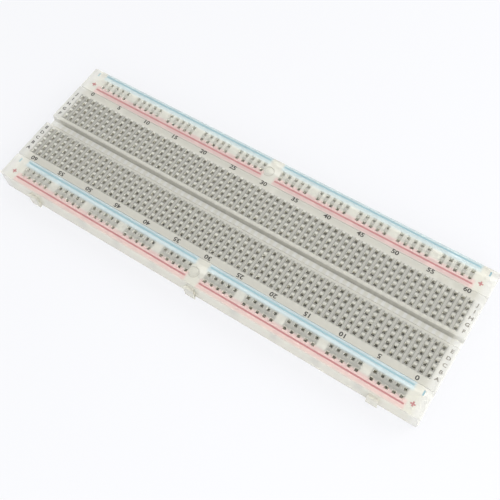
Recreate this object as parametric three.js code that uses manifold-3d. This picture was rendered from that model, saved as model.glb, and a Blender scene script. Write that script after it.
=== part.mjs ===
// Solderless breadboard: one terminal strip between two power strips, each a clear moulding
// with sprung metal contacts inside and a foam pad with a release liner underneath.
// Units are millimetres. X runs along the board, +Y away from the front edge, +Z up.
// The origin is the middle of the terminal strip, on the surface that the board stands on.
import * as THREE from "three";
import { mergeGeometries, mergeVertices } from "three/addons/utils/BufferGeometryUtils.js";
import Module from "manifold-3d";

// ---- Driving dimensions ----
const PITCH = 2.54; // spacing of the tie points, both ways
const LENGTH = 166; // all three strips
const LINER_T = 0.15;
const PAD_T = 0.85;
const HOUSING_H = 8.5; // a moulding, without its pad
const EDGE = 0.35; // chamfer round the deck

const COLUMNS = 63; // columns of the terminal strip
const ROWS = 5; // tie points in one column, on each side of the groove
const TERMINAL_W = 35.5;
const FIRST_ROW = 1.5 * PITCH; // from the groove's middle to the nearest row
const GROOVE_W = 3.2;
const GROOVE_D = 2.6;

const POWER_W = 9.55;
const STRIP_GAP = 0.2; // clearance between neighbouring strips
const RAIL_GROUPS = 5; // groups of tie points on one half of a power row
const RAIL_GROUP_STEP = 6 * PITCH;
const RAIL_FIRST = 1.5 * PITCH; // from the strip's middle to the nearest tie point
const RAIL_ROW = PITCH / 2; // from the strip's centre line to either row

const PIT_W = 1.6; // mouth of a tie point
const PIT_D = 1.2;
const CELL_W = 1.9; // pocket that holds the contacts of five tie points
const CELL_L = 12.2;
const ROOF_T = 1.6; // deck over the pockets
const RECESS_D = 0.8; // shallow recess that joins the pockets' mouths, over the carrier strips

const LEAF_T = 0.25; // sheet metal of the contacts
const CONTACT_W = 1.4; // across the foot of a contact
const CONTACT_L = 11.8;
const CONTACT_H = 6.1;
const LEAF_GAP = 0.2; // between the tips of two leaves
const CONTACT_LIFT = 0.3; // foot of a contact above the pad
const BANK_COLUMNS = 7; // columns of contacts on one length of carrier strip

const TAB_X = 68; // the outer tabs, either side of the middle one
const TAB_NECK = 3;
const TAB_TIP = 4;
const TAB_OUT = 1.2; // how far a tab stands out of its wall
const TAB_H = 5.8;
const TAB_CLEAR = 0.2; // clearance of a tab in its slot

const PAD_INSET = 0.4;
const NOTCH_W = 6.4; // cut-out of a pad below a slot
const NOTCH_D = 2.2;

// ---- Worked out from them ----
const BASE_Z = LINER_T + PAD_T; // underside of the mouldings
const DECK_Z = BASE_Z + HOUSING_H;
const POWER_Y = TERMINAL_W / 2 + STRIP_GAP + POWER_W / 2; // centre line of a power strip
const COLUMN_MIDDLE = FIRST_ROW + ((ROWS - 1) / 2) * PITCH; // centre line of a block of columns
const BANKS = COLUMNS / BANK_COLUMNS;
const CONTACT_Z = BASE_Z + CONTACT_LIFT;
const TAB_PLACES = [-TAB_X, 0, TAB_X];
const CUT = 1; // how far a cutter runs past the face that it opens

// ---- Materials ----
function finish(color, roughness, metalness, extra = {}) {
  return new THREE.MeshStandardMaterial({ color, roughness, metalness, ...extra });
}
const clearPlastic = finish(0xe3e4dc, 0.3, 0, { transparent: true, opacity: 0.55 });
const plated = finish(0xb9b8b3, 0.35, 0.9);
const foam = finish(0xf1efe8, 0.9, 0);
const linerPaper = finish(0xf4efd9, 0.6, 0);

// ---- Solids ----
const wasm = await Module();
wasm.setup();

function toSolid(geometry) {
  const plain = geometry.clone();
  plain.deleteAttribute("normal");
  plain.deleteAttribute("uv");
  const merged = mergeVertices(plain, 1e-4);
  const mesh = new wasm.Mesh({
    numProp: 3,
    vertProperties: new Float32Array(merged.attributes.position.array),
    triVerts: new Uint32Array(merged.index.array),
  });
  return new wasm.Manifold(mesh);
}

function toGeometry(solid) {
  const mesh = solid.getMesh();
  const geometry = new THREE.BufferGeometry();
  geometry.setAttribute("position", new THREE.BufferAttribute(mesh.vertProperties, 3));
  geometry.setIndex(new THREE.BufferAttribute(mesh.triVerts, 1));
  geometry.computeVertexNormals();
  return geometry;
}

function joined(geometries) {
  return geometries.map(toSolid).reduce((all, next) => all.add(next));
}

// A closed loft through rectangles, each given as [z, half length, half width].
function rectangleLoft(rings) {
  const points = [];
  for (const [z, halfX, halfY] of rings) {
    points.push(-halfX, -halfY, z, halfX, -halfY, z, halfX, halfY, z, -halfX, halfY, z);
  }
  const faces = [0, 2, 1, 0, 3, 2];
  for (let ring = 0; ring < rings.length - 1; ring += 1) {
    for (let side = 0; side < 4; side += 1) {
      const a = 4 * ring + side;
      const b = 4 * ring + ((side + 1) % 4);
      faces.push(a, b, b + 4, a, b + 4, a + 4);
    }
  }
  const top = 4 * (rings.length - 1);
  faces.push(top, top + 1, top + 2, top, top + 2, top + 3);
  const geometry = new THREE.BufferGeometry();
  geometry.setAttribute("position", new THREE.Float32BufferAttribute(points, 3));
  geometry.setIndex(faces);
  return geometry;
}

function box(x0, x1, y0, y1, z0, z1) {
  const geometry = new THREE.BoxGeometry(x1 - x0, y1 - y0, z1 - z0);
  geometry.translate((x0 + x1) / 2, (y0 + y1) / 2, (z0 + z1) / 2);
  return geometry;
}

// A flat outline in X and Y, raised from z0 to z1.
function raised(outline, z0, z1) {
  const shape = new THREE.Shape(outline.map(([x, y]) => new THREE.Vector2(x, y)));
  const geometry = new THREE.ExtrudeGeometry(shape, { depth: z1 - z0, bevelEnabled: false });
  geometry.translate(0, 0, z0);
  return geometry;
}

// ---- Features of the mouldings ----
function body(width) {
  return rectangleLoft([
    [BASE_Z, LENGTH / 2, width / 2],
    [DECK_Z - EDGE, LENGTH / 2, width / 2],
    [DECK_Z, LENGTH / 2 - EDGE, width / 2 - EDGE],
  ]);
}

// The lead-in of one tie point: a pyramid standing on its tip, a little proud of the deck.
function pit(x, y) {
  const spread = (PIT_W / 2) * (1 + CUT / PIT_D);
  const geometry = new THREE.ConeGeometry(spread * Math.SQRT2, PIT_D + CUT, 4, 1);
  geometry.rotateY(Math.PI / 4);
  geometry.rotateX(-Math.PI / 2);
  geometry.translate(x, y, DECK_Z + (CUT - PIT_D) / 2);
  return geometry;
}

function cell(x, y, lengthX, lengthY) {
  const top = DECK_Z - ROOF_T;
  return box(x - lengthX / 2, x + lengthX / 2, y - lengthY / 2, y + lengthY / 2, BASE_Z - CUT, top);
}

// The recess under a line of pockets, from the first pocket's middle to the last one's.
function recess(firstX, lastX, y, width) {
  const half = CELL_W / 2;
  const top = BASE_Z + RECESS_D;
  return box(firstX - half, lastX + half, y - width / 2, y + width / 2, BASE_Z - CUT, top);
}

// The outline of a tab in plan: a dovetail that points towards -Y from a wall at y = 0.
function dovetail(grow, reach) {
  const neck = TAB_NECK / 2 + grow;
  const tip = TAB_TIP / 2 + grow;
  return [
    [-tip, -reach],
    [tip, -reach],
    [neck, 0],
    [neck, CUT],
    [-neck, CUT],
    [-neck, 0],
  ];
}

function tabs(wallY) {
  return TAB_PLACES.map((x) => {
    const geometry = raised(dovetail(0, TAB_OUT), BASE_Z, BASE_Z + TAB_H);
    geometry.translate(x, wallY, 0);
    return geometry;
  });
}

// The slots that a neighbour's tabs slide into: open below and at the wall, closed above.
function slots(wallY) {
  const top = BASE_Z + TAB_H + 2 * TAB_CLEAR;
  return TAB_PLACES.map((x) => {
    const outline = dovetail(TAB_CLEAR, TAB_OUT - STRIP_GAP + TAB_CLEAR);
    const geometry = raised(outline, BASE_Z - CUT, top);
    geometry.translate(x, wallY, 0);
    return geometry;
  });
}

// The cutters in one list of inside are clear of each other, so they make one solid.
function housing(width, inside, openings) {
  const outer = joined([body(width), ...tabs(-width / 2)]);
  const hollows = toSolid(mergeGeometries(inside.map(bare)));
  const others = joined([...openings, ...slots(width / 2)]);
  return toGeometry(outer.subtract(hollows).subtract(others));
}

// Only positions, with no shared vertices, so that unlike geometries can be merged.
function bare(geometry) {
  const loose = geometry.index ? geometry.toNonIndexed() : geometry.clone();
  loose.deleteAttribute("normal");
  loose.deleteAttribute("uv");
  return loose;
}

// ---- Terminal strip ----
const columnX = Array.from({ length: COLUMNS }, (_, i) => (i - (COLUMNS - 1) / 2) * PITCH);

function terminalHousing() {
  const inside = [];
  const openings = [];
  for (const side of [-1, 1]) {
    for (const x of columnX) {
      for (let row = 0; row < ROWS; row += 1) {
        inside.push(pit(x, side * (FIRST_ROW + row * PITCH)));
      }
      inside.push(cell(x, side * COLUMN_MIDDLE, CELL_W, CELL_L));
    }
    openings.push(recess(columnX[0], columnX[COLUMNS - 1], side * COLUMN_MIDDLE, CELL_L));
  }
  const reach = LENGTH / 2 + CUT;
  const grooveZ = DECK_Z - GROOVE_D;
  openings.push(box(-reach, reach, -GROOVE_W / 2, GROOVE_W / 2, grooveZ, DECK_Z + CUT));
  return housing(TERMINAL_W, inside, openings);
}

// ---- Power strips ----
function railGroupX(half, group) {
  return half * (RAIL_FIRST + 2 * PITCH + group * RAIL_GROUP_STEP);
}

function powerHousing() {
  const inside = [];
  const openings = [];
  for (const y of [-RAIL_ROW, RAIL_ROW]) {
    for (const half of [-1, 1]) {
      for (let group = 0; group < RAIL_GROUPS; group += 1) {
        const x = railGroupX(half, group);
        for (let hole = -2; hole <= 2; hole += 1) {
          inside.push(pit(x + hole * PITCH, y));
        }
        inside.push(cell(x, y, CELL_L, CELL_W));
      }
      const ends = [railGroupX(half, 0), railGroupX(half, RAIL_GROUPS - 1)];
      openings.push(recess(Math.min(...ends), Math.max(...ends), y, CELL_W));
    }
  }
  return housing(POWER_W, inside, openings);
}

// ---- Contacts ----
// Two leaves in section that lean together, from right to left over a foot that is LEAF_T thick.
function leaves(x) {
  const foot = CONTACT_W / 2;
  const tip = LEAF_GAP / 2;
  return [
    [x + foot, LEAF_T],
    [x + tip + LEAF_T, CONTACT_H],
    [x + tip, CONTACT_H],
    [x + foot - LEAF_T, LEAF_T],
    [x - foot + LEAF_T, LEAF_T],
    [x - tip, CONTACT_H],
    [x - tip - LEAF_T, CONTACT_H],
    [x - foot, LEAF_T],
  ];
}

// Contacts in a row along X, each long in Y, on one foot: places are their middles, rising.
function contacts(places) {
  const half = CONTACT_W / 2;
  const section = [
    [places[0] - half, 0],
    [places.at(-1) + half, 0],
    ...[...places].reverse().flatMap(leaves),
  ];
  const geometry = raised(section, -CONTACT_L / 2, CONTACT_L / 2);
  geometry.rotateX(Math.PI / 2);
  geometry.translate(0, 0, CONTACT_Z);
  return geometry;
}

// Seven five-point contacts side by side on the thin carrier strip that joins their feet.
function contactBank() {
  const places = Array.from({ length: BANK_COLUMNS }, (_, i) => i - (BANK_COLUMNS - 1) / 2);
  return contacts(places.map((step) => step * PITCH));
}

// One half of a power row: five groups of sprung leaves on one strip of metal.
function rail() {
  const end = ((RAIL_GROUPS - 1) / 2) * RAIL_GROUP_STEP;
  const half = CONTACT_W / 2;
  const pieces = [box(-end, end, -half, half, CONTACT_Z, CONTACT_Z + LEAF_T)];
  for (let group = 0; group < RAIL_GROUPS; group += 1) {
    const leafPair = contacts([0]);
    leafPair.rotateZ(Math.PI / 2);
    leafPair.translate(group * RAIL_GROUP_STEP - end, 0, 0);
    pieces.push(leafPair);
  }
  return toGeometry(joined(pieces));
}

// ---- Pads and liners ----
// A rectangle under one strip, notched on its +Y edge where the tabs of the next strip pass.
function padOutline(width) {
  const x = LENGTH / 2 - PAD_INSET;
  const y = width / 2 - PAD_INSET;
  const outline = [
    [-x, -y],
    [x, -y],
    [x, y],
  ];
  for (const place of [...TAB_PLACES].reverse()) {
    outline.push([place + NOTCH_W / 2, y], [place + NOTCH_W / 2, y - NOTCH_D]);
    outline.push([place - NOTCH_W / 2, y - NOTCH_D], [place - NOTCH_W / 2, y]);
  }
  outline.push([-x, y]);
  return outline;
}

// ---- Assembly ----
const board = new THREE.Group();

function place(group, name, geometry, material, x = 0, y = 0) {
  const mesh = new THREE.Mesh(geometry, material);
  mesh.name = name;
  mesh.position.set(x, y, 0);
  group.add(mesh);
}

function strip(prefix, width, y, housingGeometry) {
  const group = new THREE.Group();
  group.position.y = y;
  place(group, `${prefix}_housing`, housingGeometry, clearPlastic);
  place(group, `${prefix}_foam_pad`, raised(padOutline(width), LINER_T, BASE_Z), foam);
  place(group, `${prefix}_release_liner`, raised(padOutline(width), 0, LINER_T), linerPaper);
  board.add(group);
  return group;
}

const terminal = strip("terminal", TERMINAL_W, 0, terminalHousing());
const bank = contactBank();
for (const [block, side] of [["front", -1], ["back", 1]]) {
  for (let i = 0; i < BANKS; i += 1) {
    const x = (i - (BANKS - 1) / 2) * BANK_COLUMNS * PITCH;
    place(terminal, `${block}_contact_bank_${i + 1}`, bank, plated, x, side * COLUMN_MIDDLE);
  }
}

const powerGeometry = powerHousing();
const railGeometry = rail();
const railMiddle = railGroupX(1, (RAIL_GROUPS - 1) / 2);
for (const [prefix, side] of [["front_power", -1], ["back_power", 1]]) {
  const power = strip(prefix, POWER_W, side * POWER_Y, powerGeometry);
  for (const [row, y] of [["plus", -RAIL_ROW], ["minus", RAIL_ROW]]) {
    place(power, `${prefix}_${row}_rail_left`, railGeometry, plated, -railMiddle, y);
    place(power, `${prefix}_${row}_rail_right`, railGeometry, plated, railMiddle, y);
  }
}

export default board;
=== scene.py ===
# Looks of the solderless breadboard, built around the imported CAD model.
# Lengths in the helpers are millimetres in the CAD frame; meshes are scaled to metres at the end.
import math

import bmesh
import bpy
from mathutils import Matrix, Vector

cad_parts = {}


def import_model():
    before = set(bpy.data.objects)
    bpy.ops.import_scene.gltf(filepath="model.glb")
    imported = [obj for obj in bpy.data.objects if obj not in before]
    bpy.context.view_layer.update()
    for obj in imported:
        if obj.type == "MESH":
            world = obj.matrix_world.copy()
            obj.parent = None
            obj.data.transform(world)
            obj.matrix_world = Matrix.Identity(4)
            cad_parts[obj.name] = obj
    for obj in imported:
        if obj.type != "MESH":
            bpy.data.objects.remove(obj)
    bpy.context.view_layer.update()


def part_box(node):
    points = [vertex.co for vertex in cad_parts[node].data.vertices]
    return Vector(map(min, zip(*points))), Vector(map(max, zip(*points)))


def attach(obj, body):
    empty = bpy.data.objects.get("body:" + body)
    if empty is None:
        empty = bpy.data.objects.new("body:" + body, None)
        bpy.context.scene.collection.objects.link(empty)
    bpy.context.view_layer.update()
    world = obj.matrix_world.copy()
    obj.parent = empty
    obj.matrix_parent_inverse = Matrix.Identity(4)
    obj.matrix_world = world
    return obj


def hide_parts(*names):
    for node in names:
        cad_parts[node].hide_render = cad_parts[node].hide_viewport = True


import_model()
MM = 0.001


def node_box(node):
    """Lowest and highest corner of a CAD node in millimetres."""
    low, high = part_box(node)
    return [c / MM for c in low], [c / MM for c in high]


# ---- Sizes that the frame gives ----
TERMINAL_LOW, TERMINAL_HIGH = node_box("terminal_housing")
POWER_LOW, POWER_HIGH = node_box("back_power_housing")
PAD_LOW, PAD_HIGH = node_box("terminal_foam_pad")
BASE_Z = TERMINAL_LOW[2]
DECK_Z = TERMINAL_HIGH[2]
HALF_LENGTH = TERMINAL_HIGH[0]
TERMINAL_W = 2 * TERMINAL_HIGH[1]
TAB_OUT = -TERMINAL_LOW[1] - TERMINAL_HIGH[1]
POWER_W = POWER_HIGH[1] - POWER_LOW[1] - TAB_OUT
POWER_Y = POWER_HIGH[1] - POWER_W / 2
LINER_Z = PAD_LOW[2]

# ---- Sizes of the real board ----
PITCH = 2.54
COLUMNS = 63
ROWS = 5
FIRST_ROW = 1.5 * PITCH
COLUMN_MIDDLE = FIRST_ROW + 2 * PITCH
BANK_COLUMNS = 7
BANKS = COLUMNS // BANK_COLUMNS
RAIL_ROW = PITCH / 2
RAIL_GROUPS = 5
RAIL_STEP = 6 * PITCH
RAIL_FIRST = 3.5 * PITCH
TAB_X = 68
GATE_X = -1.1
GATE_Y = -0.5
GATE_R = 1.7
GATE_D = 0.35
TAB_H = 5.8

COLUMN_X = [(i - (COLUMNS - 1) / 2) * PITCH for i in range(COLUMNS)]
GROUP_X = [h * (RAIL_FIRST + g * RAIL_STEP) for h in (-1, 1) for g in range(RAIL_GROUPS)]


# ---- Mesh helpers ----
def new_object(name, bm, scale=MM):
    mesh = bpy.data.meshes.new(name)
    bm.normal_update()
    bm.to_mesh(mesh)
    bm.free()
    mesh.transform(Matrix.Scale(scale, 4))
    ob = bpy.data.objects.new(name, mesh)
    bpy.context.scene.collection.objects.link(ob)
    return ob


def add_loft(bm, rings):
    """A closed solid through rings of points, each ring a list of the same number of points."""
    made = [[bm.verts.new(p) for p in ring] for ring in rings]
    n = len(made[0])
    for low, high in zip(made, made[1:]):
        for i in range(n):
            j = (i + 1) % n
            bm.faces.new((low[i], low[j], high[j], high[i]))
    bm.faces.new(list(reversed(made[0])))
    bm.faces.new(made[-1])
    return [v for ring in made for v in ring]


def square(x, y, z, half_x, half_y):
    return [
        (x - half_x, y - half_y, z),
        (x + half_x, y - half_y, z),
        (x + half_x, y + half_y, z),
        (x - half_x, y + half_y, z),
    ]


def add_box(bm, x0, x1, y0, y1, z0, z1):
    x, y = (x0 + x1) / 2, (y0 + y1) / 2
    half_x, half_y = (x1 - x0) / 2, (y1 - y0) / 2
    return add_loft(bm, [square(x, y, z0, half_x, half_y), square(x, y, z1, half_x, half_y)])


def add_extrusion_x(bm, outline, x0, x1):
    """A solid of the outline [(y, z), ...], counter-clockwise seen from +X, from x0 to x1."""
    return add_loft(bm, [[(x, y, z) for y, z in outline] for x in (x0, x1)])


def boolean(ob, cutter_bm, operation):
    """Cuts or joins a closed mesh in millimetres, and puts the result in ob's mesh."""
    cutter = new_object("cutter", cutter_bm)
    modifier = ob.modifiers.new("boolean", "BOOLEAN")
    modifier.operation = operation
    modifier.solver = "MANIFOLD"
    modifier.object = cutter
    depsgraph = bpy.context.evaluated_depsgraph_get()
    result = bpy.data.meshes.new_from_object(ob.evaluated_get(depsgraph))
    ob.modifiers.clear()
    old = ob.data
    ob.data = result
    result.name = ob.name
    bpy.data.meshes.remove(old)
    bpy.data.meshes.remove(cutter.data)


def finish_piece(ob, body, material, nodes=()):
    """Gives a piece its material, its body and the CAD nodes that it replaces."""
    ob.data.materials.clear()
    ob.data.materials.append(material)
    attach(ob, body)
    if nodes:
        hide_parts(*nodes)
    return ob


# ---- Node helpers ----
def new_material(name):
    material = bpy.data.materials.new(name)
    material.use_nodes = True
    nodes = material.node_tree.nodes
    shader = nodes["Principled BSDF"]
    return material, nodes, material.node_tree.links, shader


def object_coords(nodes):
    return nodes.new("ShaderNodeTexCoord").outputs["Object"]


def noise(nodes, links, coords, scale, detail=4.0, rough=0.55):
    node = nodes.new("ShaderNodeTexNoise")
    node.inputs["Scale"].default_value = scale
    node.inputs["Detail"].default_value = detail
    node.inputs["Roughness"].default_value = rough
    links.new(coords, node.inputs["Vector"])
    return node.outputs["Fac"]


def remap(nodes, links, value, low, high, to_low, to_high):
    node = nodes.new("ShaderNodeMapRange")
    node.inputs["From Min"].default_value = low
    node.inputs["From Max"].default_value = high
    node.inputs["To Min"].default_value = to_low
    node.inputs["To Max"].default_value = to_high
    links.new(value, node.inputs["Value"])
    return node.outputs["Result"]


def mix_colour(nodes, links, factor, first, second):
    node = nodes.new("ShaderNodeMix")
    node.data_type = "RGBA"
    links.new(factor, node.inputs["Factor"])
    for socket, colour in ((node.inputs[6], first), (node.inputs[7], second)):
        if hasattr(colour, "links"):
            links.new(colour, socket)
        else:
            socket.default_value = (*colour, 1)
    return node.outputs[2]


def calculate(nodes, links, operation, *values):
    node = nodes.new("ShaderNodeMath")
    node.operation = operation
    for socket, value in zip(node.inputs, values):
        if isinstance(value, (int, float)):
            socket.default_value = value
        else:
            links.new(value, socket)
    return node.outputs["Value"]


def bump(nodes, links, height, shader, strength, distance):
    node = nodes.new("ShaderNodeBump")
    node.inputs["Strength"].default_value = strength
    node.inputs["Distance"].default_value = distance
    links.new(height, node.inputs["Height"])
    links.new(node.outputs["Normal"], shader.inputs["Normal"])


# ---- Materials ----
RED_Y = -3.0
BLUE_Y = 3.75
LINE_INNER = 2.7
LINE_OUTER = 76.6
HALO_CORE = 1.0
HALO_W = 2.3
CREAM = ((0.885, 0.868, 0.775), (0.912, 0.896, 0.808))
# Painted shade: a darker copy of CREAM for the terminal strip.
SHADED_CREAM = ((0.82, 0.80, 0.71), (0.85, 0.83, 0.745))
GREY = ((0.90, 0.89, 0.82), (0.95, 0.94, 0.87))
# Painted shade: the groove's walls are darker than the rest of the plastic.
GROOVE_WALL_SHADE = ((0.61, 0.60, 0.54), (0.67, 0.655, 0.59))
# Painted shade on the deck over the pockets under it.
POCKET_SHADE = (0.40, 0.395, 0.36)
# Painted light: the groove floor's colour between its paler spots.
GROOVE_DARK = (0.93, 0.915, 0.83)
# Painted coloured reflections of the red and blue printed lines in the plastic.
PINK_GLOW = (0.985, 0.72, 0.68)
BLUE_GLOW = (0.74, 0.885, 0.92)
PALE = (0.995, 0.99, 0.955)
# Colour of the painted highlights on the webs between tie points.
GLINT_COLOUR = (0.87, 0.855, 0.77)
# Painted shade and painted highlights. Each pair goes from the left end to the right end: the painted shade
# of the walls between columns, and the strength of the painted highlights on the webs. A power strip has
# two pairs, the least painted shade over its pockets and the painted shade in line with its tie points.
WALL_SHADE = (0.66, 0.36)
GLINT_STRENGTH = (1.0, 0.6)
RAIL_SHADE = {"back": (0.08, 0.18, 0.4, 0.65), "front": (0.4, 0.78, 0.6, 0.78)}
WEB_SHIFT = 0.3


def away_from(nodes, links, value, centre):
    """Distance of a coordinate in metres from centre in millimetres."""
    shifted = calculate(nodes, links, "SUBTRACT", value, centre * MM)
    return calculate(nodes, links, "ABSOLUTE", shifted)


def near(nodes, links, distance, full, none):
    """1 within full millimetres, falling smoothly to 0 at none."""
    fall = remap(nodes, links, distance, full * MM, none * MM, 1, 0)
    fall.node.interpolation_type = "SMOOTHSTEP"
    return fall


def line_glow(nodes, links, split, line_y):
    """Painted coloured reflection: where the colour of a pair of printed lines shines into the plastic."""
    across = away_from(nodes, links, split.outputs["Y"], line_y)
    glow = near(nodes, links, across, HALO_CORE, HALO_W)
    middle = (LINE_OUTER + LINE_INNER) / 2
    reach = (LINE_OUTER - LINE_INNER) / 2
    along = calculate(nodes, links, "ABSOLUTE", split.outputs["X"])
    from_middle = away_from(nodes, links, along, middle)
    ends = near(nodes, links, from_middle, reach - 0.2, reach + 0.9)
    depth = away_from(nodes, links, split.outputs["Z"], DECK_Z)
    ends = calculate(nodes, links, "MULTIPLY", ends, near(nodes, links, depth, 0.1, 1.0))
    return calculate(nodes, links, "MULTIPLY", glow, ends)


def on_deck(nodes, links, split, value):
    """The value on the deck's flat top, and 0 on the walls of the tie points."""
    depth = away_from(nodes, links, split.outputs["Z"], DECK_Z)
    return calculate(nodes, links, "MULTIPLY", value, near(nodes, links, depth, 0.02, 0.06))


def column_shade(nodes, links, split):
    """Painted shade over the terminal strip's pockets, and painted highlights between its tie points."""
    x = calculate(nodes, links, "PINGPONG", split.outputs["X"], PITCH / 2 * MM)
    y = calculate(nodes, links, "ABSOLUTE", split.outputs["Y"])
    from_block = away_from(nodes, links, y, COLUMN_MIDDLE)
    field = near(nodes, links, calculate(nodes, links, "ABSOLUTE", split.outputs["X"]), 79.8, 80.2)
    wall = remap(nodes, links, split.outputs["X"], -HALF_LENGTH * MM, HALF_LENGTH * MM, *WALL_SHADE)
    field = calculate(nodes, links, "MULTIPLY", field, near(nodes, links, from_block, 5.9, 6.5))
    shade = calculate(nodes, links, "MAXIMUM", near(nodes, links, x, 0.75, 1.1), wall)
    # Painted highlights on the webs between tie points.
    web_y = FIRST_ROW + PITCH / 2 - WEB_SHIFT
    shifted = calculate(nodes, links, "SUBTRACT", split.outputs["Y"], web_y * MM)
    web = calculate(nodes, links, "PINGPONG", shifted, PITCH / 2 * MM)
    on_web = near(nodes, links, web, 0.25, 0.6)
    in_column = near(nodes, links, x, 0.3, 0.75)
    glint = calculate(nodes, links, "MULTIPLY", on_web, in_column)
    strength = remap(nodes, links, split.outputs["X"], -HALF_LENGTH * MM, HALF_LENGTH * MM, *GLINT_STRENGTH)
    glint = calculate(nodes, links, "MULTIPLY", glint, strength)
    dark = calculate(nodes, links, "MAXIMUM", calculate(nodes, links, "SUBTRACT", shade, glint), 0.0)
    dark = calculate(nodes, links, "MULTIPLY", dark, field)
    light = calculate(nodes, links, "MULTIPLY", glint, field)
    return on_deck(nodes, links, split, dark), on_deck(nodes, links, split, light)


def groove_shade(nodes, links, split):
    """Painted light on the groove's floor: lighter over each of the small pockets under it."""
    x = calculate(nodes, links, "PINGPONG", split.outputs["X"], PITCH / 2 * MM)
    light = near(nodes, links, x, 0.25, 0.9)
    return calculate(nodes, links, "SUBTRACT", 1.0, light), light


def gate_shade(nodes, links, split, strip_y):
    """A ring of shade around the gate mark in the middle of a power strip."""
    x = calculate(nodes, links, "SUBTRACT", split.outputs["X"], GATE_X * MM)
    y = calculate(nodes, links, "SUBTRACT", split.outputs["Y"], (strip_y + GATE_Y) * MM)
    squares = [calculate(nodes, links, "MULTIPLY", value, value) for value in (x, y)]
    radius = calculate(nodes, links, "SQRT", calculate(nodes, links, "ADD", *squares))
    ring = near(nodes, links, away_from(nodes, links, radius, GATE_R + 0.1), 0.1, 0.5)
    return calculate(nodes, links, "MULTIPLY", ring, 0.4)


def rail_shade(nodes, links, split, strip_y, levels):
    """Painted shade over a power strip's pockets under the deck: ten groups of five tie points by two."""
    shifted = calculate(nodes, links, "SUBTRACT", split.outputs["X"], PITCH / 2 * MM)
    from_hole = calculate(nodes, links, "PINGPONG", shifted, PITCH / 2 * MM)
    between = remap(nodes, links, split.outputs["X"], -HALF_LENGTH * MM, HALF_LENGTH * MM, *levels[:2])
    full = remap(nodes, links, split.outputs["X"], -HALF_LENGTH * MM, HALF_LENGTH * MM, *levels[2:])
    column = calculate(nodes, links, "MULTIPLY", near(nodes, links, from_hole, 0.5, 0.95), full)
    level = calculate(nodes, links, "MAXIMUM", column, between)
    along = calculate(nodes, links, "ABSOLUTE", split.outputs["X"])
    shifted = calculate(nodes, links, "SUBTRACT", along, RAIL_FIRST * MM)
    from_group = calculate(nodes, links, "PINGPONG", shifted, RAIL_STEP / 2 * MM)
    in_group = near(nodes, links, from_group, 5.7, 6.4)
    in_strip = near(nodes, links, along, 77, 77.4)
    shade = calculate(nodes, links, "MULTIPLY", in_group, in_strip)
    across = away_from(nodes, links, split.outputs["Y"], strip_y)
    rows = calculate(nodes, links, "MULTIPLY", near(nodes, links, across, 2.0, 2.45), level)
    shade = calculate(nodes, links, "MULTIPLY", shade, rows)
    shade = calculate(nodes, links, "MAXIMUM", shade, gate_shade(nodes, links, split, strip_y))
    return on_deck(nodes, links, split, shade), None


def plastic(name, colours, clearness, rough, shade=None, dark=POCKET_SHADE, light=GLINT_COLOUR, lines=()):
    """Clear or milky plastic. shade gives where painted shade and painted light go; lines are (y, colour)
    of painted coloured reflections.
    """
    material, nodes, links, shader = new_material(name)
    coords = object_coords(nodes)
    split = nodes.new("ShaderNodeSeparateXYZ")
    links.new(coords, split.inputs["Vector"])
    cloud = noise(nodes, links, coords, 60)
    colour = mix_colour(nodes, links, cloud, *colours)
    if shade:
        darkness, lightness = shade(nodes, links, split)
        colour = mix_colour(nodes, links, darkness, colour, dark)
        if lightness:
            colour = mix_colour(nodes, links, lightness, colour, light)
    for line_y, tint in lines:
        colour = mix_colour(nodes, links, line_glow(nodes, links, split, line_y), colour, tint)
    # Painted light: the plastic is paler towards the ends, where no pockets are under the deck.
    along = calculate(nodes, links, "ABSOLUTE", split.outputs["X"])
    painted_end_light = remap(nodes, links, along, 79 * MM, 81 * MM, 0, 0.78)
    colour = mix_colour(nodes, links, painted_end_light, colour, PALE)
    links.new(colour, shader.inputs["Base Color"])
    fine = noise(nodes, links, coords, 900)
    links.new(remap(nodes, links, fine, 0.3, 0.7, *rough), shader.inputs["Roughness"])
    shader.inputs["Transmission Weight"].default_value = clearness
    shader.inputs["IOR"].default_value = 1.5
    bump(nodes, links, cloud, shader, 0.25, 0.00005)
    return material


def contact_metal():
    material, nodes, links, shader = new_material("contact_metal")
    coords = object_coords(nodes)
    stain = noise(nodes, links, coords, 250)
    colour = mix_colour(nodes, links, stain, (0.82, 0.81, 0.78), (0.92, 0.91, 0.88))
    links.new(colour, shader.inputs["Base Color"])
    shader.inputs["Metallic"].default_value = 1.0
    grain = noise(nodes, links, coords, 3000)
    links.new(remap(nodes, links, grain, 0.3, 0.7, 0.3, 0.48), shader.inputs["Roughness"])
    bump(nodes, links, grain, shader, 0.2, 0.00002)
    return material


def foam_tape():
    material, nodes, links, shader = new_material("foam_tape")
    coords = object_coords(nodes)
    cells = noise(nodes, links, coords, 2500, 3.0)
    colour = mix_colour(nodes, links, cells, (0.90, 0.89, 0.86), (0.97, 0.965, 0.94))
    links.new(colour, shader.inputs["Base Color"])
    shader.inputs["Roughness"].default_value = 0.85
    bump(nodes, links, cells, shader, 0.5, 0.0001)
    return material


def release_paper():
    material, nodes, links, shader = new_material("release_paper")
    coords = object_coords(nodes)
    fibre = noise(nodes, links, coords, 700, 6.0)
    colour = mix_colour(nodes, links, fibre, (0.88, 0.85, 0.74), (0.95, 0.93, 0.85))
    links.new(colour, shader.inputs["Base Color"])
    links.new(remap(nodes, links, fibre, 0.3, 0.7, 0.4, 0.6), shader.inputs["Roughness"])
    bump(nodes, links, fibre, shader, 0.3, 0.00003)
    return material


def ink(name, thin, thick):
    material, nodes, links, shader = new_material(name)
    coords = object_coords(nodes)
    coverage = noise(nodes, links, coords, 1200)
    colour = mix_colour(nodes, links, coverage, thin, thick)
    links.new(colour, shader.inputs["Base Color"])
    links.new(remap(nodes, links, coverage, 0.3, 0.7, 0.35, 0.55), shader.inputs["Roughness"])
    bump(nodes, links, coverage, shader, 0.2, 0.00001)
    return material


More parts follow.
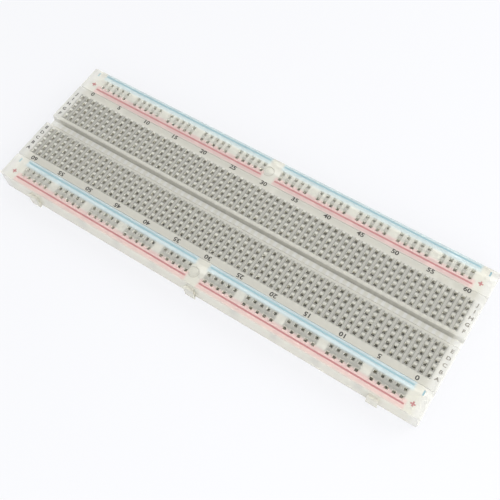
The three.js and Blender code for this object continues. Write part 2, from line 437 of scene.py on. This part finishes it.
SKIN_CLEAR = 0.55
SKIN_ROUGH = (0.14, 0.26)
SKIN = plastic("clear_plastic", SHADED_CREAM, SKIN_CLEAR, SKIN_ROUGH, column_shade)
CORE = plastic("frosted_plastic", CREAM, 0.2, (0.35, 0.5))
ROOF = plastic("shaded_plastic", GREY, 0.6, (0.2, 0.3))
# The groove's walls: painted shade.
CHANNEL = plastic("groove_wall_shaded_plastic", GROOVE_WALL_SHADE, 0.5, SKIN_ROUGH)
# The groove's floor: painted light spots over the pockets under it.
CHANNEL_FLOOR = plastic("groove_floor_plastic", CREAM, 0.35, SKIN_ROUGH, groove_shade, GROOVE_DARK, PALE)


def power_skin(side, strip_y):
    def shade(nodes, links, split):
        return rail_shade(nodes, links, split, strip_y, RAIL_SHADE[side])

    glows = [(strip_y + RED_Y, PINK_GLOW), (strip_y + BLUE_Y, BLUE_GLOW)]
    return plastic(f"{side}_power_plastic", CREAM, SKIN_CLEAR, SKIN_ROUGH, shade, lines=glows)


METAL = contact_metal()
FOAM = foam_tape()
PAPER = release_paper()
RED = ink("red_ink", (0.39, 0.17, 0.17), (0.34, 0.14, 0.14))
BLUE = ink("blue_ink", (0.25, 0.375, 0.405), (0.21, 0.33, 0.365))
DARK = ink("dark_ink", (0.05, 0.045, 0.04), (0.03, 0.027, 0.024))
# A lighter ink, for the letters at the right end.
FAINT_INK = ink("faint_dark_ink", (0.24, 0.22, 0.19), (0.14, 0.13, 0.11))

# ---- Mouldings ----
DRAFT = 0.06
CORNER_R = 0.6
DECK_R = 0.03
SEAM_FILL = 0.095
FOOT_R = 0.12
MOUTH = 0.66
THROAT = 0.5
MOUTH_D = 0.35
ROOF_T = 1.6
CELL_W = 1.9
CELL_L = 12.2
GROOVE_W = 3.2
GROOVE_D = 2.6
LIP = 0.32
# Half the width of a dovetail tab at its neck and at its tip.
TAB_NECK = 1.5
TAB_TIP = 2.0
TAB_CLEAR = 0.2
ROOF_Z = DECK_Z - ROOF_T
PAST = 1.0


def moulded_block(name, width, y):
    """The outer shape of a strip: a drafted block with rounded edges."""
    bm = bmesh.new()
    half = width / 2 + SEAM_FILL
    low = square(0, y, BASE_Z, HALF_LENGTH, half)
    high = square(0, y, DECK_Z, HALF_LENGTH - DRAFT, half - DRAFT / 2)
    add_loft(bm, [low, high])

    def edges(test):
        return [e for e in bm.edges if test(*(v.co for v in e.verts))]

    upright = edges(lambda a, b: abs(a.z - b.z) > 1)
    bmesh.ops.bevel(bm, geom=upright, offset=CORNER_R, segments=5, profile=0.5, affect="EDGES")
    top = edges(lambda a, b: min(a.z, b.z) > DECK_Z - 0.01)
    bmesh.ops.bevel(bm, geom=top, offset=DECK_R, segments=4, profile=0.5, affect="EDGES")
    foot = edges(lambda a, b: max(a.z, b.z) < BASE_Z + 0.01)
    bmesh.ops.bevel(bm, geom=foot, offset=FOOT_R, segments=2, profile=0.5, affect="EDGES")
    return new_object(name, bm)


def dovetail(x, wall_y, grow, reach, z):
    neck, tip = TAB_NECK + grow, TAB_TIP + grow
    return [
        (x - tip, wall_y - reach, z),
        (x + tip, wall_y - reach, z),
        (x + neck, wall_y, z),
        (x + neck, wall_y + PAST / 2, z),
        (x - neck, wall_y + PAST / 2, z),
        (x - neck, wall_y, z),
    ]


def add_tabs(bm, wall_y):
    for x in (-TAB_X, 0, TAB_X):
        lead = 0.3
        rings = [dovetail(x, wall_y, 0, TAB_OUT, z) for z in (BASE_Z, BASE_Z + TAB_H - lead)]
        rings.append(dovetail(x, wall_y, -lead / 2, TAB_OUT - lead, BASE_Z + TAB_H))
        add_loft(bm, rings)


def add_slots(bm, wall_y):
    for x in (-TAB_X, 0, TAB_X):
        levels = (BASE_Z - PAST, BASE_Z + TAB_H + 2 * TAB_CLEAR)
        reach = TAB_OUT
        add_loft(bm, [dovetail(x, wall_y, TAB_CLEAR, reach, z) for z in levels])


def add_tie_point(bm, x, y):
    flare = MOUTH + (MOUTH - THROAT) / MOUTH_D * PAST
    rings = [
        square(x, y, ROOF_Z - 0.3, THROAT, THROAT),
        square(x, y, DECK_Z - MOUTH_D, THROAT, THROAT),
        square(x, y, DECK_Z + PAST, flare, flare),
    ]
    add_loft(bm, rings)


def add_pocket(bm, x, y, size_x, size_y, top=ROOF_Z):
    draft = 0.06
    rings = [
        square(x, y, BASE_Z - PAST, size_x / 2 + draft, size_y / 2 + draft),
        square(x, y, top, size_x / 2, size_y / 2),
    ]
    add_loft(bm, rings)


def add_gate_mark(bm, x, y):
    """A shallow round recess where the plastic was injected."""
    levels = (
        (GATE_R, DECK_Z - GATE_D),
        (GATE_R + 0.1, DECK_Z - 0.05),
        (GATE_R + 0.2, DECK_Z + PAST),
    )
    rings = []
    for radius, z in levels:
        ring = []
        for step in range(32):
            angle = 2 * math.pi * step / 32
            ring.append((x + radius * math.cos(angle), y + radius * math.sin(angle), z))
        rings.append(ring)
    add_loft(bm, rings)


def mark_inner_faces(ob, inside):
    """Frosted walls and shaded roofs for the pockets, painted shade on the groove's walls, and the groove's
    floor with its painted light spots.
    """
    for material in (CORE, ROOF, CHANNEL, CHANNEL_FLOOR):
        ob.data.materials.append(material)
    for face in ob.data.polygons:
        x, y, z = (c / MM for c in face.center)
        if abs(y) < GROOVE_W / 2 + LIP and z > DECK_Z - GROOVE_D - 0.05:
            wall = 3 if z < DECK_Z - LIP else 0
            face.material_index = 4 if face.normal.z > 0.9 else wall
        if z > ROOF_Z + 0.05 or not inside(x, y):
            continue
        if face.normal.z < -0.9 and z > ROOF_Z - 0.05:
            face.material_index = 2
        elif abs(face.normal.z) < 0.5:
            face.material_index = 1


def terminal_housing():
    ob = moulded_block("terminal_strip_housing", TERMINAL_W, 0)
    bm = bmesh.new()
    add_tabs(bm, -TERMINAL_W / 2)
    boolean(ob, bm, "UNION")
    bm = bmesh.new()
    for side in (-1, 1):
        for x in COLUMN_X:
            add_pocket(bm, x, side * COLUMN_MIDDLE, CELL_W, CELL_L)
    for x in COLUMN_X:
        add_pocket(bm, x, 0, 1.7, 2.2, DECK_Z - GROOVE_D - 1.2)
    boolean(ob, bm, "DIFFERENCE")
    bm = bmesh.new()
    for side in (-1, 1):
        for x in COLUMN_X:
            for row in range(ROWS):
                add_tie_point(bm, x, side * (FIRST_ROW + row * PITCH))
    half, floor, deep = GROOVE_W / 2, DECK_Z - GROOVE_D, 0.25
    outline = [
        (-half + 0.15 + deep, floor),
        (half - 0.15 - deep, floor),
        (half - 0.15, floor + deep),
        (half, DECK_Z - LIP),
        (half + LIP + PAST, DECK_Z + PAST),
        (-half - LIP - PAST, DECK_Z + PAST),
        (-half, DECK_Z - LIP),
        (-half + 0.15, floor + deep),
    ]
    reach = HALF_LENGTH + PAST
    add_extrusion_x(bm, outline, -reach, reach)
    add_slots(bm, TERMINAL_W / 2)
    boolean(ob, bm, "DIFFERENCE")
    finish_piece(ob, "terminal_strip", SKIN, ["terminal_housing"])
    field_x = COLUMN_X[-1] + CELL_W / 2 + 0.2
    field_y = COLUMN_MIDDLE + CELL_L / 2 + 0.2
    mark_inner_faces(ob, lambda x, y: abs(x) < field_x and abs(y) < field_y)


def power_housing(side, y):
    ob = moulded_block(f"{side}_power_strip_housing", POWER_W, y)
    bm = bmesh.new()
    add_tabs(bm, y - POWER_W / 2)
    boolean(ob, bm, "UNION")
    bm = bmesh.new()
    for x in GROUP_X:
        for row in (-RAIL_ROW, RAIL_ROW):
            add_pocket(bm, x, y + row, CELL_L, CELL_W)
    boolean(ob, bm, "DIFFERENCE")
    bm = bmesh.new()
    for x in GROUP_X:
        for row in (-RAIL_ROW, RAIL_ROW):
            for hole in range(-2, 3):
                add_tie_point(bm, x + hole * PITCH, y + row)
    add_gate_mark(bm, GATE_X, y + GATE_Y)
    add_slots(bm, y + POWER_W / 2)
    boolean(ob, bm, "DIFFERENCE")
    nodes = [f"{side}_power_housing"]
    finish_piece(ob, f"{side}_power_strip", power_skin(side, y), nodes)
    field_x = GROUP_X[-1] + CELL_L / 2 + 0.2
    field_y = RAIL_ROW + CELL_W / 2 + 0.2
    mark_inner_faces(ob, lambda x, piece_y: abs(x) < field_x and abs(piece_y - y) < field_y)


# ---- Contacts ----
SHEET_T = 0.18
FOOT_HALF = 0.68
CONTACT_Z = BASE_Z + 0.3
FINGER_W = 1.9
CHANNEL_H = 1.3
# Middle line of one leaf in section: distance from the contact's middle, height over its foot.
LEAF_LINE = [(0.60, 0.9), (0.60, 1.6), (0.50, 2.9), (0.27, 4.3), (0.13, 5.0), (0.13, 5.35), (0.42, 6.1)]


def strip_section(line, thickness):
    """The outline of a strip of that thickness along a line of (across, up) points."""
    left, right = [], []
    for i, (a, b) in enumerate(line):
        before, after = line[max(i - 1, 0)], line[min(i + 1, len(line) - 1)]
        along = Vector((after[0] - before[0], after[1] - before[1])).normalized()
        off = Vector((-along.y, along.x)) * thickness / 2
        left.append((a + off.x, b + off.y))
        right.append((a - off.x, b - off.y))
    return right + left[::-1]


def add_prism(bm, outline, start, end, to_point):
    """A solid of an (across, up) outline from start to end along the contact."""
    add_loft(bm, [[to_point(s, a, b) for a, b in outline] for s in (start, end)])


def contact_mesh(name, length, fingers, along_x):
    """One sprung contact on a U-shaped foot, with a pair of leaves at each of fingers."""

    def to_point(s, a, b):
        return (s, a, CONTACT_Z + b) if along_x else (-a, s, CONTACT_Z + b)

    inner = FOOT_HALF - SHEET_T
    channel = [
        (-FOOT_HALF, 0),
        (FOOT_HALF, 0),
        (FOOT_HALF, CHANNEL_H),
        (inner, CHANNEL_H),
        (inner, SHEET_T),
        (-inner, SHEET_T),
        (-inner, CHANNEL_H),
        (-FOOT_HALF, CHANNEL_H),
    ]
    bm = bmesh.new()
    add_prism(bm, channel, -length / 2, length / 2, to_point)
    ob = new_object(name, bm)
    bm = bmesh.new()
    right = strip_section(LEAF_LINE, SHEET_T)
    left = [(-a, b) for a, b in reversed(right)]
    for middle in fingers:
        for section in (right, left):
            add_prism(bm, section, middle - FINGER_W / 2, middle + FINGER_W / 2, to_point)
    boolean(ob, bm, "UNION")
    return ob


def contact_banks():
    fingers = [(i - 2) * PITCH for i in range(ROWS)]
    one = contact_mesh("contact", CELL_L - 0.4, fingers, False)
    bank = bmesh.new()
    for i in range(BANK_COLUMNS):
        step = (i - (BANK_COLUMNS - 1) / 2) * PITCH * MM
        copy = one.data.copy()
        copy.transform(Matrix.Translation((step, 0, 0)))
        bank.from_mesh(copy)
        bpy.data.meshes.remove(copy)
    mesh = bpy.data.meshes.new("contact_bank")
    bank.to_mesh(mesh)
    bank.free()
    bpy.data.meshes.remove(one.data)
    for block, side in (("front", -1), ("back", 1)):
        for i in range(BANKS):
            name = f"{block}_contacts_{i + 1}"
            ob = bpy.data.objects.new(name, mesh)
            x = (i - (BANKS - 1) / 2) * BANK_COLUMNS * PITCH
            ob.location = (x * MM, side * COLUMN_MIDDLE * MM, 0)
            bpy.context.scene.collection.objects.link(ob)
            nodes = [f"{block}_contact_bank_{i + 1}"]
            finish_piece(ob, "terminal_strip", METAL, nodes)


def rails():
    middle = RAIL_FIRST + (RAIL_GROUPS - 1) / 2 * RAIL_STEP
    reach = (RAIL_GROUPS - 1) / 2 * RAIL_STEP
    fingers = [g * RAIL_STEP - reach + h * PITCH for g in range(RAIL_GROUPS) for h in range(-2, 3)]
    one = contact_mesh("rail_contact", 2 * reach + CELL_L - 0.4, fingers, True)
    mesh = one.data
    bpy.data.objects.remove(one)
    for side, y in (("front", -POWER_Y), ("back", POWER_Y)):
        for row, row_y in (("plus", -RAIL_ROW), ("minus", RAIL_ROW)):
            for half, x in (("left", -middle), ("right", middle)):
                node = f"{side}_power_{row}_rail_{half}"
                ob = bpy.data.objects.new(f"{side}_{row}_rail_{half}", mesh)
                ob.location = (x * MM, (y + row_y) * MM, 0)
                bpy.context.scene.collection.objects.link(ob)
                finish_piece(ob, f"{side}_power_strip", METAL, [node])


# ---- Pads and liners ----
PAD_INSET = 0.4
PAD_GAP = 0.03
NOTCH_HALF = 3.2
NOTCH_D = 2.2


def pad_outline(width, y, z, inset):
    x, half = HALF_LENGTH - inset, width / 2 - inset
    points = [(-x, y - half), (x, y - half), (x, y + half)]
    for place in (TAB_X, 0, -TAB_X):
        for dx, depth in ((1, 0), (1, NOTCH_D), (-1, NOTCH_D), (-1, 0)):
            points.append((place + dx * NOTCH_HALF, y + half - depth))
    points.append((-x, y + half))
    return [(a, b, z) for a, b in points]


def pad_and_liner(prefix, body, width, y):
    bm = bmesh.new()
    top = BASE_Z - PAD_GAP
    levels = ((LINER_Z, 0.1), (LINER_Z + 0.1, 0.0), (top - 0.1, 0.0), (top, 0.06))
    add_loft(bm, [pad_outline(width, y, z, PAD_INSET + inset) for z, inset in levels])
    pad = new_object(f"{prefix}_adhesive_foam", bm)
    finish_piece(pad, body, FOAM, [f"{prefix}_foam_pad"])
    bm = bmesh.new()
    add_loft(bm, [pad_outline(width, y, z, PAD_INSET) for z in (0, LINER_Z)])
    liner = new_object(f"{prefix}_liner", bm)
    finish_piece(liner, body, PAPER, [f"{prefix}_release_liner"])


# ---- Print ----
INK_Z = DECK_Z + 0.004
INK_T = 0.012
FIGURE_H = 1.55
WIDE = 1.2
NUMBER_Y = 16.75
PRINT_SHIFT = 0.25
LETTER_X = 81.3
LINE_W = 0.6


def add_text(bm, text, x, y, height, turned=False):
    curve = bpy.data.curves.new("figure", "FONT")
    curve.body = text
    curve.align_x = "CENTER"
    curve.align_y = "CENTER"
    curve.size = height * 1.4
    curve.extrude = INK_T / 2
    curve.offset = 0.04 * height
    curve.resolution_u = 3
    ob = bpy.data.objects.new("figure", curve)
    bpy.context.scene.collection.objects.link(ob)
    depsgraph = bpy.context.evaluated_depsgraph_get()
    mesh = bpy.data.meshes.new_from_object(ob.evaluated_get(depsgraph))
    turn = Matrix.Rotation(math.pi if turned else 0, 4, "Z") @ Matrix.Diagonal((WIDE, 1, 1, 1))
    mesh.transform(Matrix.Translation((x, y, INK_Z + INK_T / 2)) @ turn)
    bm.from_mesh(mesh)
    bpy.data.meshes.remove(mesh)
    bpy.data.objects.remove(ob)
    bpy.data.curves.remove(curve)


def numbers():
    for block, side in (("front", -1), ("back", 1)):
        bm = bmesh.new()
        for n in range(0, 61, 5):
            add_text(bm, str(n), side * (n - 30) * PITCH, side * NUMBER_Y + PRINT_SHIFT, FIGURE_H, side < 0)
        ob = new_object(f"{block}_column_numbers", bm)
        finish_piece(ob, "terminal_strip", DARK)


def letters():
    for end, x, material in (("left", -LETTER_X, DARK), ("right", LETTER_X, FAINT_INK)):
        bm = bmesh.new()
        for row, letter in enumerate("EDCBA"):
            add_text(bm, letter, x, -(FIRST_ROW + row * PITCH), FIGURE_H * 0.8)
        for row, letter in enumerate("FGHIJ"):
            add_text(bm, letter, x, FIRST_ROW + row * PITCH, FIGURE_H * 0.8)
        ob = new_object(f"{end}_row_letters", bm)
        finish_piece(ob, "terminal_strip", material)


def add_stroke(bm, x0, x1, y0, y1):
    add_box(bm, x0, x1, y0, y1, INK_Z, INK_Z + INK_T)


def add_line(bm, x0, x1, y):
    """A printed line with round ends."""
    radius, steps = LINE_W / 2, 8
    outline = []
    for x, start in ((x1 - radius, -90), (x0 + radius, 90)):
        for step in range(steps + 1):
            angle = math.radians(start + 180 * step / steps)
            outline.append((x + radius * math.cos(angle), y + radius * math.sin(angle)))
    add_loft(bm, [[(a, b, z) for a, b in outline] for z in (INK_Z, INK_Z + INK_T)])


def power_print(side, y):
    body = f"{side}_power_strip"
    for colour, material, line_y in (("red", RED, y + RED_Y), ("blue", BLUE, y + BLUE_Y)):
        for half in (-1, 1):
            bm = bmesh.new()
            x0, x1 = sorted((half * LINE_INNER, half * LINE_OUTER))
            add_line(bm, x0, x1, line_y)
            end = "left" if half < 0 else "right"
            ob = new_object(f"{side}_{colour}_line_{end}", bm)
            finish_piece(ob, body, material)
    arm, thick = 0.85, 0.26
    bm = bmesh.new()
    for x in (-78.8, 78.8):
        add_stroke(bm, x - arm, x + arm, y - 1.6 - thick, y - 1.6 + thick)
        add_stroke(bm, x - thick, x + thick, y - 1.6 + thick, y - 1.6 + arm)
        add_stroke(bm, x - thick, x + thick, y - 1.6 - arm, y - 1.6 - thick)
    finish_piece(new_object(f"{side}_plus_signs", bm), body, RED)
    bm = bmesh.new()
    for x in (-80.0, 80.0):
        add_stroke(bm, x - thick, x + thick, y + 3.0 - arm, y + 3.0 + arm)
    finish_piece(new_object(f"{side}_minus_signs", bm), body, BLUE)


terminal_housing()
contact_banks()
rails()
pad_and_liner("terminal", "terminal_strip", TERMINAL_W, 0)
numbers()
letters()
for side_name, strip_y in (("front", -POWER_Y), ("back", POWER_Y)):
    power_housing(side_name, strip_y)
    pad_and_liner(f"{side_name}_power", f"{side_name}_power_strip", POWER_W, strip_y)
    power_print(side_name, strip_y)


# ---- Studio ----
def studio_floor():
    bm = bmesh.new()
    bmesh.ops.create_grid(bm, x_segments=8, y_segments=8, size=4.0)
    for v in bm.verts:
        v.co.z = -0.00002
    ob = new_object("studio_floor", bm, 1.0)
    material, nodes, links, shader = new_material("studio_paper")
    shader.inputs["Base Color"].default_value = (0.16, 0.16, 0.163, 1)
    shader.inputs["Roughness"].default_value = 0.9
    shader.inputs["Specular IOR Level"].default_value = 0.0
    shader.inputs["Emission Color"].default_value = (0.97, 0.975, 1.0, 1)
    shader.inputs["Emission Strength"].default_value = 0.75
    ob.data.materials.append(material)


def area_light(name, location, target, size, power, colour=(1, 1, 1)):
    data = bpy.data.lights.new(name, "AREA")
    data.shape = "DISK"
    data.size = size
    data.energy = power
    data.color = colour
    ob = bpy.data.objects.new(name, data)
    ob.location = location
    ob.rotation_euler = (Vector(target) - Vector(location)).to_track_quat("-Z", "Y").to_euler()
    bpy.context.scene.collection.objects.link(ob)


def world():
    w = bpy.data.worlds.new("soft_white")
    w.use_nodes = True
    background = w.node_tree.nodes["Background"]
    background.inputs["Color"].default_value = (0.98, 0.99, 1.0, 1)
    background.inputs["Strength"].default_value = 1.08
    bpy.context.scene.world = w


def camera():
    azimuth, elevation, roll = math.radians(39.79), math.radians(62.53), math.radians(-7.30)
    distance = 0.24093
    target = Vector((0.01022, -0.00697, DECK_Z * MM))
    forward = Vector((
        -math.sin(azimuth) * math.cos(elevation),
        math.cos(azimuth) * math.cos(elevation),
        -math.sin(elevation),
    ))
    data = bpy.data.cameras.new("camera")
    data.lens = 52.77
    data.sensor_width = 36
    data.clip_start = 0.01
    ob = bpy.data.objects.new("camera", data)
    turn = forward.to_track_quat("-Z", "Y").to_matrix() @ Matrix.Rotation(roll, 3, "Z")
    ob.matrix_world = Matrix.Translation(target - forward * distance) @ turn.to_4x4()
    bpy.context.scene.collection.objects.link(ob)
    bpy.context.scene.camera = ob


studio_floor()
world()
area_light("key", (0.33, 0.27, 0.3), (0, 0, 0), 0.35, 0.92)
area_light("fill", (0.33, -0.28, 0.28), (0, 0, 0), 0.5, 1.4)
camera()
bpy.context.scene.view_settings.view_transform = "Standard"
